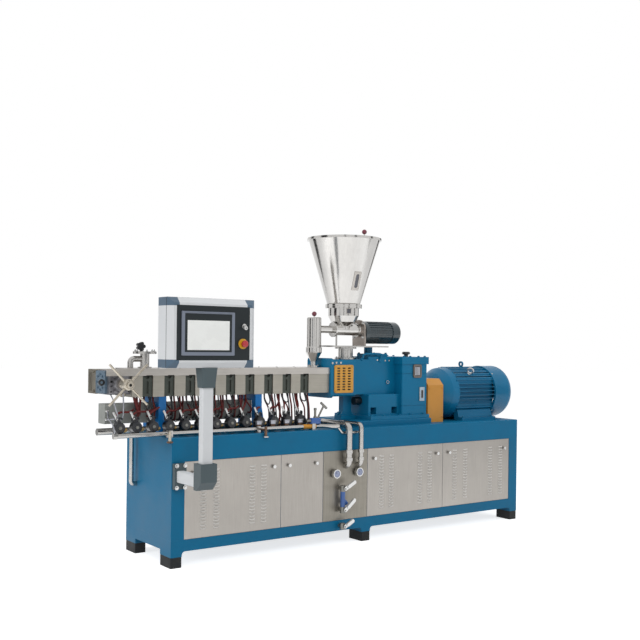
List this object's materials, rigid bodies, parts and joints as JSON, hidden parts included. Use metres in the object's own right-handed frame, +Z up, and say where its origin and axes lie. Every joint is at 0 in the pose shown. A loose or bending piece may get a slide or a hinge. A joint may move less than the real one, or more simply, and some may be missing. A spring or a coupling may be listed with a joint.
{
  "type": "twin-screw plastic compounding extruder",
  "caption": "Twin-screw compounding extruder on a long blue base: hopper feeder, water-cooled barrel, die head, gearbox, finned motor and a swivelling operator pendant.",
  "frame": {"origin": "on the floor, below the middle of the whole machine", "axes": "+X along the machine from the die head to the motor, +Y away from the operator, +Z up"},
  "size_m": [3.3906, 1.068, 2.113],
  "materials": {
    "frame_blue": "satin paint, slightly worn at the edges",
    "machine_blue": "gloss paint over cast surfaces",
    "motor_blue": "gloss paint over cast fins",
    "foot_black": "matt black",
    "panel_steel": "brushed sheet",
    "knob_black": "black moulded",
    "guard_orange": "gloss paint",
    "stainless": "satin stainless",
    "polished_steel": "polished stainless",
    "cover_steel": "satin stainless sheet",
    "barrel_steel": "machined nitrided steel, darkened by heat",
    "die_steel": "blue-grey machined plate",
    "die_block_steel": "ground stainless",
    "burgundy": "moulded ball",
    "cast_aluminium": "cast and machined",
    "feeder_paint": "dark gloss paint",
    "gauge_face": "clear window in a pale frame",
    "dark_cast": "dark cast body",
    "arm_grey": "textured powder coat",
    "profile_white": "white powder coated profile",
    "corner_grey": "moulded corner",
    "panel_black": "fine matt",
    "screen_frame": "dark bezel with a pale screen",
    "signal_red": "red button on a yellow disc",
    "bright_metal": "plated",
    "coil_black": "moulded coil",
    "lead_brown": "braided sleeve",
    "lead_grey": "sleeved cable",
    "brass_body": "dull plated brass"
  },
  "bodies": {
    "machine": {"base_deck": "frame_blue", "base_plinth": "frame_blue", "base_posts": "frame_blue", "machine_feet": "foot_black", "cover_panels": "panel_steel", "panel_knobs": "bright_metal", "gearbox_bed": "frame_blue", "gearbox_housing": "machine_blue", "lantern_housing": "machine_blue", "lantern_leg": "machine_blue", "oil_pump": "dark_cast", "lantern_grilles": "guard_orange", "filler_cap": "knob_black", "gearbox_gauges": "gauge_face", "top_hatch": "machine_blue", "coupling_guard": "guard_orange", "drive_motor": "motor_blue", "motor_fan_cover": "motor_blue", "terminal_box": "motor_blue", "feeder_throat": "stainless", "feeder_plate": "stainless", "feeder_body": "polished_steel", "hopper": "polished_steel", "hopper_lid": "polished_steel", "drop_pipe": "polished_steel", "ball_knobs": "burgundy", "feeder_gearcase": "cast_aluminium", "feeder_motor": "feeder_paint", "barrel": "barrel_steel", "barrel_covers": "cover_steel", "barrel_tray": "cover_steel", "screen_changer": "stainless", "die_plate": "die_steel", "die_block": "die_block_steel", "vent_port": "stainless", "vent_handle": "knob_black", "barrel_stands": "machine_blue", "wireway": "stainless", "arm_fittings": "arm_grey", "arm_tubes": "profile_white", "supply_pipe": "stainless", "return_pipe": "stainless", "zone_valves": "brass_body", "valve_coils": "coil_black", "sensor_leads": "lead_brown", "coil_leads": "lead_grey", "flow_gauges": "bright_metal", "panel_valves": "dark_cast", "water_strainer": "machine_blue"},
    "pendant": {"pendant_head": "arm_grey", "pendant_corners": "corner_grey", "pendant_case": "profile_white", "pendant_front_plate": "panel_black", "touch_screen": "screen_frame", "emergency_stop": "signal_red", "key_switch": "bright_metal"},
    "capstan": {"capstan_handle": "bright_metal"},
    "lever_high": {"valve_lever_high": "bright_metal"},
    "lever_mid": {"valve_lever_mid": "bright_metal"},
    "lever_low": {"valve_lever_low": "bright_metal"}
  },
  "joints": [
    {"name": "pendant_swivel", "type": "hinge", "parent": "machine", "child": "pendant", "pos_m": [-1.2897, -0.435, 1.0725], "axis": [0, 0, 1], "range_deg": [-150, 150]},
    {"name": "capstan_turn", "type": "hinge", "parent": "machine", "child": "capstan", "pos_m": [-1.5737, -0.018, 1.075], "axis": [0, -1, 0], "continuous": true},
    {"name": "lever_high_turn", "type": "hinge", "parent": "machine", "child": "lever_high", "pos_m": [-0.1007, -0.173, 0.376], "axis": [0, -1, 0], "range_deg": [-29, 61]},
    {"name": "lever_mid_turn", "type": "hinge", "parent": "machine", "child": "lever_mid", "pos_m": [-0.1007, -0.173, 0.235], "axis": [0, -1, 0], "range_deg": [-41, 49]},
    {"name": "lever_low_turn", "type": "hinge", "parent": "machine", "child": "lever_low", "pos_m": [-0.1007, -0.173, 0.128], "axis": [0, -1, 0], "range_deg": [-29, 61]}
  ]
}
